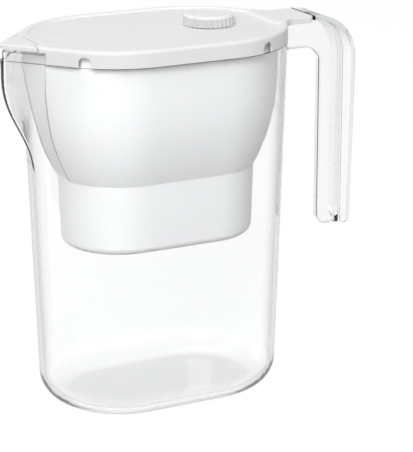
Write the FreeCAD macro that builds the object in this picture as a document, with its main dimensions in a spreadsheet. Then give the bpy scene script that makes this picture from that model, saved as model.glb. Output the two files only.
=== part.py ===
# Water filter pitcher: clear jug and handle, lift-out hopper with an oval filter cartridge,
# lid with a hinged spout flap and a ridged reminder knob.
# Millimetres. Origin at the centre of the flat base, +Z up, +X towards the handle, beak at -X.
import FreeCAD, Part
import math
import os
import Sketcher

doc = FreeCAD.newDocument("water_filter_pitcher")

# Driving sizes. Of the heights, those of beak, hopper, bucket and handle top count from the rim, down is negative.
# The flap's axis is measured back from the beak's tip. The radii of hopper and bucket count from jug_base_radius,
# inwards is negative.
sizes = {
    # Plan shared by jug, hopper, lid and cartridge: two round ends on one straight spine
    "spine_length": 58,
    "running_gap": 0.35,
    "cut_overshoot": 1,
    # Jug
    "jug_base_radius": 60,
    "jug_draft": 0.03,
    "jug_wall": 3,
    "jug_floor": 4,
    "jug_bottom_round": 20,
    "rim_height": 257,
    "lip_height": 6,
    "lip_wall": 1.3,
    "beak_start_height": -81,
    "beak_full_height": -19,
    "beak_reach": 19.3,
    "beak_tip_round": 6,
    # Handle
    "handle_reach": 153,
    "handle_top_height": 12.5,
    "handle_foot_height": 106,
    "handle_bend_radius": 33,
    "handle_flange_thickness": 3.4,
    "handle_flange_width": 36,
    "handle_foot_width": 29,
    "handle_foot_round": 10,
    "handle_web_thickness": 8,
    "handle_web_depth": 18.5,
    "handle_web_edge_round": 3,
    "handle_arm_depth": 20,
    "handle_inner_bend_radius": 11,
    "handle_web_foot_round": 9,
    "handle_seat_drop": 6.5,
    "handle_root_flare": 8,
    "handle_flange_fillet": 2.7,
    # Hopper
    "hopper_wall": 2.2,
    "hopper_flange_thickness": 2,
    "hopper_top_radius": 1.6,
    "hopper_belly_radius": 0.4,
    "hopper_belly_height": -26,
    "hopper_waist_radius": -3,
    "hopper_waist_height": -53,
    "hopper_funnel_radius": -9,
    "hopper_funnel_height": -73,
    "hopper_shoulder_radius": -15.6,
    "hopper_shoulder_height": -88,
    "hopper_flat_top_width": 50,
    "hopper_flat_top_bulge": 5.9,
    "hopper_flat_belly_width": 35,
    "hopper_flat_belly_bulge": 3,
    "hopper_flat_low_width": 27,
    "hopper_flat_low_bulge": 0.5,
    "hopper_flange_flat_width": 56,
    "bucket_top_radius": -16.1,
    "bucket_bottom_radius": -17.8,
    "bucket_bottom_height": -139,
    "bucket_bottom_round": 6,
    "bucket_floor": 2.4,
    "bucket_outlet_radius": 12,
    "bucket_ledge_depth": 42,
    "bucket_ledge_thickness": 2.5,
    # Lid
    "lid_crest": 4,
    "lid_edge_round": 2.5,
    "lid_border_width": 6,
    "lid_dish_depth": 1.6,
    "lid_dish_round": 1.2,
    "lid_border_round": 0.8,
    "lid_tab_width": 34,
    "lid_tab_end": 118.2,
    "lid_tab_thickness": 4.9,
    "lid_tab_corner": 3,
    "lid_tab_flare": 12,
    "lid_tab_edge_round": 1,
    "lid_dimple_reach": 77,
    "lid_dimple_radius": 7.5,
    "lid_dimple_depth": 1.2,
    "lid_skirt_start": 94,
    "lid_notch_width": 9,
    "lid_notch_rise": 7.4,
    "lid_notch_front_angle": 47,
    "lid_notch_rear_angle": 66,
    # Spout flap
    "flap_axis_reach": 20.61,
    "flap_thickness": 3.4,
    "flap_lift": 0.3,
    "flap_edge_round": 1.2,
    "flap_tongue_width": 32,
    "flap_root_gap": 3,
    "flap_lug_gap": 2,
    "flap_pin_radius": 1,
    "flap_pin_length": 3,
    "flap_pin_clearance": 0.05,
    # Reminder knob
    "knob_reach": 42,
    "knob_radius": 18.8,
    "knob_top_radius": 17.6,
    "knob_height": 7.6,
    "knob_edge_round": 1,
    "knob_lift": 0.6,
    "knob_ridge_radius": 0.7,
    "knob_ridge_count": 36,
    "knob_stem_radius": 4,
    "knob_stem_clearance": 0.08,
    "knob_stem_tail": 2.4,
    "knob_clip_radius": 7.5,
    "knob_clip_thickness": 1.2,
    "knob_ring_radius": 9,
    "knob_ring_width": 2,
    # Cartridge
    "cartridge_body_clearance": 0.6,
    "cartridge_ledge_width": 4.3,
    "cartridge_wall": 1.8,
    "cartridge_floor": 2,
    "cartridge_collar_height": 6,
    "cartridge_collar_clearance": 0.8,
    "cartridge_body_depth": 37,
    "cartridge_seal_thickness": 1.4,
    "cartridge_seal_width": 2.6,
    "cartridge_cap_thickness": 2,
    "cartridge_cap_sink": 1.4,
    "cartridge_lip_width": 3.6,
    "hood_width": 52,
    "hood_rise": 14,
    "hood_wall": 1.6,
    "slot_inner_radius": 8.5,
    "slot_outer_radius": 19,
    "slot_length": 8,
    "slot_width": 1.6,
    "slot_inner_count": 12,
    "slot_outer_count": 22,
    "outlet_hole_radius": 1.5,
    "outlet_ring_radius": 7,
    "outlet_hole_count": 8,
    "felt_thickness": 2.5,
    "mesh_thickness": 1.5,
    "resin_depth": 13,
    "layer_gap": 0.15,
}
sheet = doc.addObject("Spreadsheet::Sheet", "dims")
for row, (alias, number) in enumerate(sizes.items(), start=1):
    sheet.set(f"A{row}", alias)
    sheet.set(f"B{row}", str(number))
    sheet.setAlias(f"B{row}", alias)
doc.recompute()


class Size:
    """A number together with the sheet expression that gives it."""

    def __init__(self, text, number):
        self.text = text
        self.number = float(number)

    def join(self, sign, other, number):
        return Size(f"({self.text} {sign} {as_size(other).text})", number)

    def __add__(self, other):
        return self.join("+", other, self.number + as_size(other).number)

    def __sub__(self, other):
        return self.join("-", other, self.number - as_size(other).number)

    def __mul__(self, other):
        return self.join("*", other, self.number * as_size(other).number)

    def __truediv__(self, other):
        return self.join("/", other, self.number / as_size(other).number)

    def __neg__(self):
        return Size(f"(-1 * {self.text})", -self.number)


def as_size(value):
    return value if isinstance(value, Size) else Size(repr(value), value)


def root(size):
    return Size(f"sqrt({size.text})", math.sqrt(size.number))


def of(alias):
    return Size(f"dims.{alias}", sheet.get(alias))


def from_rim(alias):
    return of("rim_height") + of(alias)


def from_jug(alias):
    return of("jug_base_radius") + of(alias)


def least(first, second):
    return Size(f"min({first.text}; {second.text})", min(first.number, second.number))


# Sketch and feature helpers
def bind(target, prop, size):
    target.setExpression(prop, as_size(size).text)


def new_body(name):
    return doc.addObject("PartDesign::Body", name)


def plane_of(body, role):
    return next(item for item in body.Origin.OriginFeatures if item.Role == role)


def new_sketch(body, name, role="XY_Plane", height=0.0):
    sketch = body.newObject("Sketcher::SketchObject", name)
    sketch.AttachmentSupport = [(plane_of(body, role), "")]
    sketch.MapMode = "FlatFace"
    bind(sketch, "AttachmentOffset.Base.z", height)
    return sketch


def dimension(sketch, name, size, kind, *where):
    size = as_size(size)
    if kind == "DistanceX" or kind == "DistanceY":
        if size.number < 0:
            where = where[2:] + where[:2]
            size = -size
    index = sketch.addConstraint(Sketcher.Constraint(kind, *where, size.number))
    sketch.renameConstraint(index, name)
    sketch.setExpression(f"Constraints.{name}", size.text)


def vector(x, y):
    return FreeCAD.Vector(x, y, 0)


def line(start, end):
    return Part.LineSegment(vector(*start), vector(*end))


def arc(centre, radius, start_angle, end_angle):
    circle = Part.Circle(vector(*centre), FreeCAD.Vector(0, 0, 1), radius)
    return Part.ArcOfCircle(circle, start_angle, end_angle)


START, END, MIDDLE = 1, 2, 3
X_AXIS, Y_AXIS = -1, -2
ORIGIN = (-1, 1)


def tangent(sketch, first, first_end, second, second_end):
    sketch.addConstraint(Sketcher.Constraint("Tangent", first, first_end, second, second_end))


def stadium(body, name, height, radius, spine=None):
    """Two half circles joined by straight sides, centred on the origin."""
    spine = spine or of("spine_length")
    sketch = new_sketch(body, name, height=height)
    half, r = spine.number / 2, as_size(radius).number
    right = sketch.addGeometry(arc((half, 0), r, -math.pi / 2, math.pi / 2))
    far = sketch.addGeometry(line((half, r), (-half, r)))
    left = sketch.addGeometry(arc((-half, 0), r, math.pi / 2, 3 * math.pi / 2))
    near = sketch.addGeometry(line((-half, -r), (half, -r)))
    tangent(sketch, right, END, far, START)
    tangent(sketch, far, END, left, START)
    tangent(sketch, left, END, near, START)
    tangent(sketch, near, END, right, START)
    sketch.addConstraint(Sketcher.Constraint("PointOnObject", right, MIDDLE, X_AXIS))
    sketch.addConstraint(Sketcher.Constraint("Symmetric", right, MIDDLE, left, MIDDLE, *ORIGIN))
    sketch.addConstraint(Sketcher.Constraint("Equal", right, left))
    dimension(sketch, "spine", spine, "DistanceX", left, MIDDLE, right, MIDDLE)
    dimension(sketch, "end_radius", radius, "Radius", right)
    return sketch


def open_end(sketch, radius, touch):
    """Right end, sides and the two left arcs of a stadium whose left end is left open.

    touch is the angle, from -X, at which each left arc stops.
    """
    spine = of("spine_length")
    half, r = spine.number / 2, radius.number
    right = sketch.addGeometry(arc((half, 0), r, -math.pi / 2, math.pi / 2))
    far = sketch.addGeometry(line((half, r), (-half, r)))
    left_far = sketch.addGeometry(arc((-half, 0), r, math.pi / 2, math.pi - touch))
    left_near = sketch.addGeometry(arc((-half, 0), r, math.pi + touch, 3 * math.pi / 2))
    near = sketch.addGeometry(line((-half, -r), (half, -r)))
    tangent(sketch, right, END, far, START)
    tangent(sketch, far, END, left_far, START)
    tangent(sketch, left_near, END, near, START)
    tangent(sketch, near, END, right, START)
    sketch.addConstraint(Sketcher.Constraint("PointOnObject", right, MIDDLE, X_AXIS))
    sketch.addConstraint(Sketcher.Constraint("Symmetric", right, MIDDLE, left_far, MIDDLE, *ORIGIN))
    sketch.addConstraint(Sketcher.Constraint("Coincident", left_far, MIDDLE, left_near, MIDDLE))
    sketch.addConstraint(Sketcher.Constraint("Equal", right, left_far))
    sketch.addConstraint(Sketcher.Constraint("Equal", right, left_near))
    dimension(sketch, "spine", spine, "DistanceX", left_far, MIDDLE, right, MIDDLE)
    dimension(sketch, "end_radius", radius, "Radius", right)
    return left_far, left_near


def beaked(body, name, height, radius, tip_reach, tip_round):
    """A stadium drawn out at -X into a rounded beak whose sides are tangent to the end arc."""
    sketch = new_sketch(body, name, height=height)
    half, r, t = of("spine_length").number / 2, radius.number, tip_round.number
    centre = tip_reach.number - t
    touch = math.acos((r - t) / (centre - half))
    left_far, left_near = open_end(sketch, radius, touch)
    leave = (-half - r * math.cos(touch), r * math.sin(touch))
    meet = (-centre - t * math.cos(touch), t * math.sin(touch))
    far = sketch.addGeometry(line(leave, meet))
    tip = sketch.addGeometry(arc((-centre, 0), t, math.pi - touch, math.pi + touch))
    near = sketch.addGeometry(line((meet[0], -meet[1]), (leave[0], -leave[1])))
    tangent(sketch, left_far, END, far, START)
    tangent(sketch, far, END, tip, START)
    tangent(sketch, tip, END, near, START)
    tangent(sketch, near, END, left_near, START)
    sketch.addConstraint(Sketcher.Constraint("PointOnObject", tip, MIDDLE, X_AXIS))
    dimension(sketch, "tip_round", tip_round, "Radius", tip)
    dimension(sketch, "tip_centre", tip_reach - tip_round, "DistanceX", tip, MIDDLE, *ORIGIN)
    return sketch


def flat_ended(body, name, height, radius, flat_reach, flat_width):
    """A stadium whose -X end runs out to two creases with a flat between them."""
    sketch = new_sketch(body, name, height=height)
    half, r = of("spine_length").number / 2, radius.number
    crease = (flat_reach.number - half, flat_width.number / 2)
    touch = math.atan2(crease[1], crease[0]) + math.acos(r / math.hypot(*crease))
    left_far, left_near = open_end(sketch, radius, touch)
    leave = (-half - r * math.cos(touch), r * math.sin(touch))
    corner = (-flat_reach.number, crease[1])
    far = sketch.addGeometry(line(leave, corner))
    flat = sketch.addGeometry(line(corner, (corner[0], -corner[1])))
    near = sketch.addGeometry(line((corner[0], -corner[1]), (leave[0], -leave[1])))
    tangent(sketch, left_far, END, far, START)
    sketch.addConstraint(Sketcher.Constraint("Coincident", far, END, flat, START))
    sketch.addConstraint(Sketcher.Constraint("Coincident", flat, END, near, START))
    tangent(sketch, near, END, left_near, START)
    sketch.addConstraint(Sketcher.Constraint("Symmetric", flat, START, flat, END, X_AXIS))
    dimension(sketch, "flat_reach", flat_reach, "DistanceX", flat, START, *ORIGIN)
    dimension(sketch, "flat_width", flat_width, "DistanceY", flat, END, flat, START)
    return sketch


def square_cornered(body, name, corners, role="XZ_Plane", height=0.0):
    """A closed outline of level and upright edges; a corner is (x, y) or (x, y, round)."""
    sketch = new_sketch(body, name, role, height)
    count = len(corners)
    points = [(as_size(c[0]).number, as_size(c[1]).number) for c in corners]
    rounds = [as_size(c[2]) if len(c) > 2 else None for c in corners]
    before, after, arcs = [], [], []
    for i, (x, y) in enumerate(points):
        back = points[i - 1]
        ahead = points[(i + 1) % count]
        into = (math.copysign(1, back[0] - x) if back[0] != x else 0,
                math.copysign(1, back[1] - y) if back[1] != y else 0)
        out = (math.copysign(1, ahead[0] - x) if ahead[0] != x else 0,
               math.copysign(1, ahead[1] - y) if ahead[1] != y else 0)
        r = rounds[i].number if rounds[i] else 0
        before.append((x + into[0] * r, y + into[1] * r))
        after.append((x + out[0] * r, y + out[1] * r))
        arcs.append((x + (into[0] + out[0]) * r, y + (into[1] + out[1]) * r))
    edges = [sketch.addGeometry(line(after[i], before[(i + 1) % count])) for i in range(count)]
    for i in range(count):
        incoming, outgoing = edges[i - 1], edges[i]
        if rounds[i] is None:
            sketch.addConstraint(Sketcher.Constraint("Coincident", incoming, END, outgoing, START))
            continue
        bend = Part.Arc(vector(*before[i]), middle_of(arcs[i], before[i], after[i]), vector(*after[i]))
        index = sketch.addGeometry(bend)
        starts_here = sketch.getPoint(index, START).distanceToPoint(vector(*before[i])) < 1e-6
        first, second = (START, END) if starts_here else (END, START)
        tangent(sketch, incoming, END, index, first)
        tangent(sketch, index, second, outgoing, START)
        dimension(sketch, f"round_{i}", rounds[i], "Radius", index)
    for i in range(count):
        upright = points[i][0] == points[(i + 1) % count][0]
        sketch.addConstraint(Sketcher.Constraint("Vertical" if upright else "Horizontal", edges[i]))
        place = corners[i][0] if upright else corners[i][1]
        if as_size(place).number == 0:
            sketch.addConstraint(Sketcher.Constraint("PointOnObject", edges[i], START,
                                                     Y_AXIS if upright else X_AXIS))
        else:
            dimension(sketch, f"place_{i}", place, "DistanceX" if upright else "DistanceY",
                      *ORIGIN, edges[i], START)
    return sketch


def middle_of(centre, first, second):
    """The point halfway round the quarter arc from first to second."""
    radius = math.dist(centre, first)
    aim = ((first[0] + second[0]) / 2 - centre[0], (first[1] + second[1]) / 2 - centre[1])
    scale = radius / math.hypot(*aim)
    return vector(centre[0] + aim[0] * scale, centre[1] + aim[1] * scale)


def round_hole(body, name, height, centre_x, radius, centre_y=0.0):
    """A circle at (centre_x, centre_y)."""
    sketch = new_sketch(body, name, height=height)
    x, y = as_size(centre_x), as_size(centre_y)
    ring = Part.Circle(vector(x.number, y.number), FreeCAD.Vector(0, 0, 1), as_size(radius).number)
    index = sketch.addGeometry(ring)
    for axis, kind, place in ((Y_AXIS, "DistanceX", x), (X_AXIS, "DistanceY", y)):
        if place.number == 0:
            sketch.addConstraint(Sketcher.Constraint("PointOnObject", index, MIDDLE, axis))
        else:
            dimension(sketch, kind.lower(), place, kind, *ORIGIN, index, MIDDLE)
    dimension(sketch, "hole_radius", radius, "Radius", index)
    return sketch


def pad(body, name, sketch, length, symmetric=False, reversed_way=False):
    feature = body.newObject("PartDesign::Pad", name)
    feature.Profile = sketch
    feature.SideType = "Symmetric" if symmetric else "One side"
    feature.Reversed = reversed_way
    bind(feature, "Length", length)
    return feature


def pocket(body, name, sketch, depth, upwards=False, symmetric=False):
    feature = body.newObject("PartDesign::Pocket", name)
    feature.Profile = sketch
    feature.SideType = "Symmetric" if symmetric else "One side"
    feature.Reversed = upwards
    bind(feature, "Length", depth)
    return feature


def loft(body, name, sketches, ruled=False, cut=False):
    kind = "PartDesign::SubtractiveLoft" if cut else "PartDesign::AdditiveLoft"
    feature = body.newObject(kind, name)
    feature.Profile = sketches[0]
    feature.Sections = sketches[1:]
    feature.Ruled = ruled
    return feature


def fillet(body, name, radius, chosen):
    """Rounds the edges of the body's tip for which chosen(edge) holds."""
    doc.recompute()
    base = body.Tip
    names = [f"Edge{i}" for i, edge in enumerate(base.Shape.Edges, start=1) if chosen(edge)]
    feature = body.newObject("PartDesign::Fillet", name)
    feature.Base = (base, names)
    bind(feature, "Radius", radius)
    return feature


def level_at(height):
    """Chooses edges that lie level at the given height."""
    z = as_size(height).number
    return lambda edge: abs(edge.BoundBox.ZMin - z) < 1e-4 and abs(edge.BoundBox.ZMax - z) < 1e-4


def boolean(kind, name, base, tool):
    feature = doc.addObject(f"Part::{kind}", name)
    feature.Base = base
    feature.Tool = tool
    return feature


def fused(name, *shapes):
    feature = doc.addObject("Part::MultiFuse", name)
    feature.Shapes = list(shapes)
    return feature


def block(name, low, high):
    """A box between two corners."""
    feature = doc.addObject("Part::Box", name)
    for prop, axis, small, large in zip(("Length", "Width", "Height"), "xyz", low, high):
        bind(feature, prop, as_size(large) - small)
        bind(feature, f"Placement.Base.{axis}", small)
    return feature


# Jug
spine_half = of("spine_length") / 2
lip_top = of("rim_height") + of("lip_height")
beak_steps = (0.02, 0.25, 0.5, 0.75, 1.0)


def jug_radius(height):
    return of("jug_base_radius") + of("jug_draft") * height


def ease(t):
    return t * t * (3 - 2 * t)


def jug_solid(name, inset, bottom, bottom_round, top):
    """The jug's outer form, or its hollow when inset by the wall."""
    body = new_body(name)
    start = from_rim("beak_start_height")
    low = stadium(body, name + "_low", bottom, jug_radius(as_size(bottom)) - inset)
    waist = stadium(body, name + "_waist", start, jug_radius(start) - inset)
    loft(body, name + "_barrel", [low, waist], ruled=True)
    fillet(body, name + "_bottom_round", bottom_round, level_at(bottom))
    levels = [(start + (from_rim("beak_full_height") - start) * t, ease(t)) for t in beak_steps]
    levels[0] = (start, ease(beak_steps[0]))
    levels.append((as_size(top), 1.0))
    sections = []
    for i, (height, share) in enumerate(levels):
        radius = jug_radius(height)
        reach = spine_half + radius + of("beak_reach") * share
        tip_round = of("beak_tip_round") - inset
        sections.append(beaked(body, f"{name}_section_{i}", height, radius - inset,
                               reach - inset, tip_round))
    loft(body, name + "_shoulders", sections)
    return body


jug_outer = jug_solid("jug_outer", 0.0, 0.0, of("jug_bottom_round"), of("rim_height"))
jug_hollow = jug_solid("jug_hollow", of("jug_wall"), of("jug_floor"),
                       of("jug_bottom_round") - of("jug_wall"), lip_top + of("cut_overshoot"))

rim_radius = jug_radius(of("rim_height"))
rim_reach = spine_half + rim_radius + of("beak_reach")
lip_step = of("jug_wall") - of("lip_wall")
jug_lip = new_body("jug_lip")
lip_plan = beaked(jug_lip, "lip_plan", of("rim_height"), rim_radius - lip_step,
                  rim_reach - lip_step, of("beak_tip_round") - lip_step)
pad(jug_lip, "lip_ring", lip_plan, of("lip_height"))

jug = boolean("Cut", "jug", fused("jug_full", jug_outer, jug_lip), jug_hollow)

# Handle
handle_top = from_rim("handle_top_height")
web_outer = of("handle_reach") - of("handle_flange_thickness")
web_inner = web_outer - of("handle_web_depth")
web_top = handle_top - of("handle_flange_thickness")
arm_seat = handle_top - of("handle_seat_drop")
arm_under = arm_seat - of("handle_arm_depth")
arm_root = spine_half + of("jug_base_radius")
flange_start = of("lid_tab_end") + of("running_gap") * 2
bend_room = of("handle_reach") - flange_start - of("running_gap")
handle_bend = least(of("handle_bend_radius"), bend_room)  # limited by the flange's run

handle_hook = new_body("handle_hook")
web_outline = square_cornered(handle_hook, "web_outline", [
    (arm_root, arm_under),
    (web_inner, arm_under, of("handle_inner_bend_radius")),
    (web_inner, of("handle_foot_height"), of("handle_web_foot_round")),
    (web_outer, of("handle_foot_height")),
    (web_outer, web_top, handle_bend - of("handle_flange_thickness")),
    (flange_start, web_top),
    (flange_start, arm_seat),
    (arm_root, arm_seat),
])
pad(handle_hook, "web", web_outline, of("handle_web_thickness"), symmetric=True)


flange_outline = square_cornered(handle_hook, "flange_outline", [
    (flange_start, handle_top),
    (of("handle_reach"), handle_top, handle_bend),
    (of("handle_reach"), of("handle_foot_height")),
    (web_outer, of("handle_foot_height")),
    (web_outer, web_top, handle_bend - of("handle_flange_thickness")),
    (flange_start, web_top),
])
pad(handle_hook, "flange", flange_outline, of("handle_flange_width"), symmetric=True)


def under_flange(edge):
    """Edges where the web's sides meet the inner face of the flange."""
    box = edge.BoundBox
    half = of("handle_web_thickness").number / 2
    on_side = abs(abs(box.Center.y) - half) < 1e-4 and box.YLength < 1e-4
    upright = abs(box.XMin - web_outer.number) < 1e-4 and box.XLength < 1e-4
    level = abs(box.ZMin - web_top.number) < 1e-4 and box.ZLength < 1e-4
    bend_radius = handle_bend.number - of("handle_flange_thickness").number
    bend = isinstance(edge.Curve, Part.Circle) and abs(edge.Curve.Radius - bend_radius) < 1e-4
    return on_side and (upright or level or bend)


fillet(handle_hook, "flange_fillet", of("handle_flange_fillet"), under_flange)


def on_finger_side(edge):
    """Edges of the web that the fingers meet: below the arm and inside the upright."""
    box = edge.BoundBox
    half = of("handle_web_thickness").number / 2
    on_side = abs(abs(box.Center.y) - half) < 1e-4 and box.YLength < 1e-4
    inside = box.XMax < web_inner.number + of("handle_web_foot_round").number + 1e-3
    return on_side and inside and box.ZMax < arm_under.number + 1e-3


fillet(handle_hook, "web_edge_round", of("handle_web_edge_round"), on_finger_side)


def handle_front():
    """The flange seen from +X: full width above, drawn in towards a rounded foot."""
    body = new_body("handle_front")
    sketch = new_sketch(body, "front_outline", "YZ_Plane")
    top = handle_top + of("cut_overshoot")
    foot, bend = of("handle_foot_height"), handle_top - handle_bend
    wide, narrow = of("handle_flange_width") / 2, of("handle_foot_width") / 2
    w, n, f, b, t = (s.number for s in (wide, narrow, foot, bend, top))
    corners = [(-w, t), (-w, b), (-n, f), (n, f), (w, b), (w, t)]
    edges = [sketch.addGeometry(line(corners[i], corners[(i + 1) % 6])) for i in range(6)]
    for i in range(6):
        sketch.addConstraint(Sketcher.Constraint("Coincident", edges[i], END, edges[(i + 1) % 6], START))
    for i in (0, 4):
        sketch.addConstraint(Sketcher.Constraint("Vertical", edges[i]))
    for i, name, size in ((0, "top_width", wide), (2, "foot_width", narrow)):
        mate = {0: 5, 2: 3}[i]
        sketch.addConstraint(Sketcher.Constraint("Symmetric", edges[i], START, edges[mate], START, Y_AXIS))
        dimension(sketch, name, size * 2, "DistanceX", edges[i], START, edges[mate], START)
    dimension(sketch, "top_level", top, "DistanceY", *ORIGIN, edges[0], START)
    dimension(sketch, "foot_level", foot, "DistanceY", *ORIGIN, edges[2], START)
    dimension(sketch, "bend_near", bend, "DistanceY", *ORIGIN, edges[1], START)
    dimension(sketch, "bend_far", bend, "DistanceY", *ORIGIN, edges[4], START)
    pad(body, "front", sketch, of("handle_reach") + of("cut_overshoot"))
    fillet(body, "foot_round", of("handle_foot_round"),
           lambda edge: edge.BoundBox.ZMax < f + 1e-4 and edge.BoundBox.XLength > 1)
    return body


hook_shaped = boolean("Common", "hook_shaped", handle_hook, handle_front())


def handle_flare():
    """Plan of the arm's root: concave sides that widen to meet the jug's end wall."""
    body = new_body("handle_flare")
    sketch = new_sketch(body, "flare_plan", height=arm_under)
    r, half = of("handle_root_flare"), of("handle_web_thickness") / 2
    wall = spine_half + rim_radius
    x0, x1 = arm_root.number, (wall + r).number
    h, wide = half.number, (half + r).number
    wall_x = wall.number
    far_arc = sketch.addGeometry(arc((x1, wide), r.number, math.pi, 3 * math.pi / 2))
    tip = sketch.addGeometry(line((x1, h), (x1, -h)))
    near_arc = sketch.addGeometry(arc((x1, -wide), r.number, math.pi / 2, math.pi))
    near = sketch.addGeometry(line((wall_x, -wide), (x0, -wide)))
    back = sketch.addGeometry(line((x0, -wide), (x0, wide)))
    far = sketch.addGeometry(line((x0, wide), (wall_x, wide)))
    ring = ((far, END, far_arc, START), (far_arc, END, tip, START), (tip, END, near_arc, START),
            (near_arc, END, near, START), (near, END, back, START), (back, END, far, START))
    for joint in ring:
        sketch.addConstraint(Sketcher.Constraint("Coincident", *joint))
    for edge in (near, far):
        sketch.addConstraint(Sketcher.Constraint("Horizontal", edge))
    sketch.addConstraint(Sketcher.Constraint("Symmetric", tip, START, tip, END, X_AXIS))
    sketch.addConstraint(Sketcher.Constraint("Symmetric", back, START, back, END, X_AXIS))
    sketch.addConstraint(Sketcher.Constraint("Vertical", far_arc, MIDDLE, far_arc, END))
    sketch.addConstraint(Sketcher.Constraint("Vertical", near_arc, MIDDLE, near_arc, START))
    dimension(sketch, "flare_far", r, "Radius", far_arc)
    dimension(sketch, "flare_near", r, "Radius", near_arc)
    dimension(sketch, "flare_tip", wall + r, "DistanceX", *ORIGIN, tip, START)
    dimension(sketch, "flare_back", arm_root, "DistanceX", *ORIGIN, back, START)
    dimension(sketch, "flare_throat", half * 2, "DistanceY", tip, END, tip, START)
    dimension(sketch, "flare_mouth", (half + r) * 2, "DistanceY", back, START, back, END)
    pad(body, "flare", sketch, of("handle_arm_depth"))
    return body


handle_full = fused("handle_full", hook_shaped, handle_flare())

# The arm stops short of the lid's skirt above the rim
skirt_room = new_body("skirt_room")
skirt_room_plan = stadium(skirt_room, "skirt_room_plan", of("rim_height"), rim_radius + of("running_gap"))
pad(skirt_room, "skirt_room_block", skirt_room_plan, arm_seat - of("rim_height") + of("cut_overshoot"))
handle = boolean("Cut", "handle", handle_full, fused("jug_stand_in", jug_outer, skirt_room))

# Hopper
hopper_seat = lip_top
hopper_top = hopper_seat + of("hopper_flange_thickness")
shoulder = from_rim("hopper_shoulder_height")


def crease_reach(radius, bulge, width):
    """How far the flat lies towards -X when its creases stand bulge outside the end arc."""
    far = radius + bulge
    return spine_half + root(far * far - width * width / 4)


def hopper_levels():
    """Height, end radius, crease bulge and flat width of each section of the funnel."""
    low = (of("hopper_flat_low_bulge"), of("hopper_flat_low_width"))
    belly = (of("hopper_flat_belly_bulge"), of("hopper_flat_belly_width"))
    top = (of("hopper_flat_top_bulge"), of("hopper_flat_top_width"))
    return [
        (shoulder, from_jug("hopper_shoulder_radius"), *low),
        (from_rim("hopper_funnel_height"), from_jug("hopper_funnel_radius"), *low),
        (from_rim("hopper_waist_height"), from_jug("hopper_waist_radius"), *low),
        (from_rim("hopper_belly_height"), from_jug("hopper_belly_radius"), *belly),
        (hopper_seat, from_jug("hopper_top_radius"), *top),
    ]


def funnel(name, inset, overshoot):
    """The funnel's outer form, or its hollow when inset by the wall."""
    body = new_body(name)
    sections = []
    for i, (height, radius, bulge, width) in enumerate(hopper_levels()):
        reach = crease_reach(radius, bulge, width) - inset
        inner_width = width - inset
        sections.append(flat_ended(body, f"{name}_section_{i}", height, radius - inset, reach, inner_width))
    loft(body, name + "_funnel", sections)
    if overshoot:
        height, radius, bulge, width = hopper_levels()[-1]
        reach = crease_reach(radius, bulge, width) - inset
        mouth = flat_ended(body, name + "_mouth", height, radius - inset, reach, width - inset)
        pad(body, name + "_opening", mouth, overshoot)
    return body


bucket_bottom = from_rim("bucket_bottom_height")
bucket_depth = shoulder - bucket_bottom
bucket_ledge = bucket_bottom + of("bucket_ledge_depth")
bucket_draft = (from_jug("bucket_top_radius") - from_jug("bucket_bottom_radius")) / bucket_depth


def bucket_radius(height):
    """Inner radius of the bucket at a height."""
    return from_jug("bucket_bottom_radius") + bucket_draft * (height - bucket_bottom) - of("hopper_wall")


hopper_funnel = funnel("hopper_funnel", 0.0, None)
hopper_mouth = funnel("hopper_mouth", of("hopper_wall"), of("hopper_flange_thickness") + of("cut_overshoot"))

hopper_bucket = new_body("hopper_bucket")
bucket_low = stadium(hopper_bucket, "bucket_low", bucket_bottom, from_jug("bucket_bottom_radius"))
bucket_high = stadium(hopper_bucket, "bucket_high", shoulder, from_jug("bucket_top_radius"))
loft(hopper_bucket, "bucket_outside", [bucket_low, bucket_high], ruled=True)
fillet(hopper_bucket, "bucket_round", of("bucket_bottom_round"), level_at(bucket_bottom))

bucket_floor_top = bucket_bottom + of("bucket_floor")
ledge_under = bucket_ledge - of("bucket_ledge_thickness")
throat_radius = bucket_radius(bucket_ledge) - of("cartridge_ledge_width")

bucket_hollow = new_body("bucket_hollow")
hollow_low = stadium(bucket_hollow, "hollow_low", bucket_floor_top, bucket_radius(bucket_floor_top))
hollow_mid = stadium(bucket_hollow, "hollow_mid", ledge_under, bucket_radius(ledge_under))
loft(bucket_hollow, "hollow_below", [hollow_low, hollow_mid], ruled=True)
hollow_round = of("bucket_bottom_round") - of("hopper_wall")
fillet(bucket_hollow, "hollow_round", hollow_round, level_at(bucket_floor_top))
throat = stadium(bucket_hollow, "throat", ledge_under, throat_radius)
pad(bucket_hollow, "hollow_throat", throat, of("bucket_ledge_thickness"))

bucket_seat = new_body("bucket_seat")
seat_low = stadium(bucket_seat, "seat_low", bucket_ledge, bucket_radius(bucket_ledge))
seat_high = stadium(bucket_seat, "seat_high", shoulder, bucket_radius(shoulder))
loft(bucket_seat, "seat_hollow", [seat_low, seat_high], ruled=True)

bucket_outlets = new_body("bucket_outlets")
for side, reach in (("front", -spine_half), ("rear", spine_half)):
    hole = round_hole(bucket_outlets, f"outlet_{side}", bucket_bottom, reach, of("bucket_outlet_radius"))
    pad(bucket_outlets, f"outlet_cut_{side}", hole, of("bucket_floor"))

hopper_flange = new_body("hopper_flange")
lip_radius = rim_radius - lip_step
top_level = hopper_levels()[-1]
flange_plan = flat_ended(hopper_flange, "flange_plan", hopper_seat, lip_radius,
                         crease_reach(*top_level[1:]), of("hopper_flange_flat_width"))
pad(hopper_flange, "flange_plate", flange_plan, of("hopper_flange_thickness"))

hopper_full = fused("hopper_full", hopper_funnel, hopper_bucket, hopper_flange)
hopper_inside = fused("hopper_inside", hopper_mouth, bucket_seat, bucket_hollow, bucket_outlets)
hopper = boolean("Cut", "hopper", hopper_full, hopper_inside)

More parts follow.
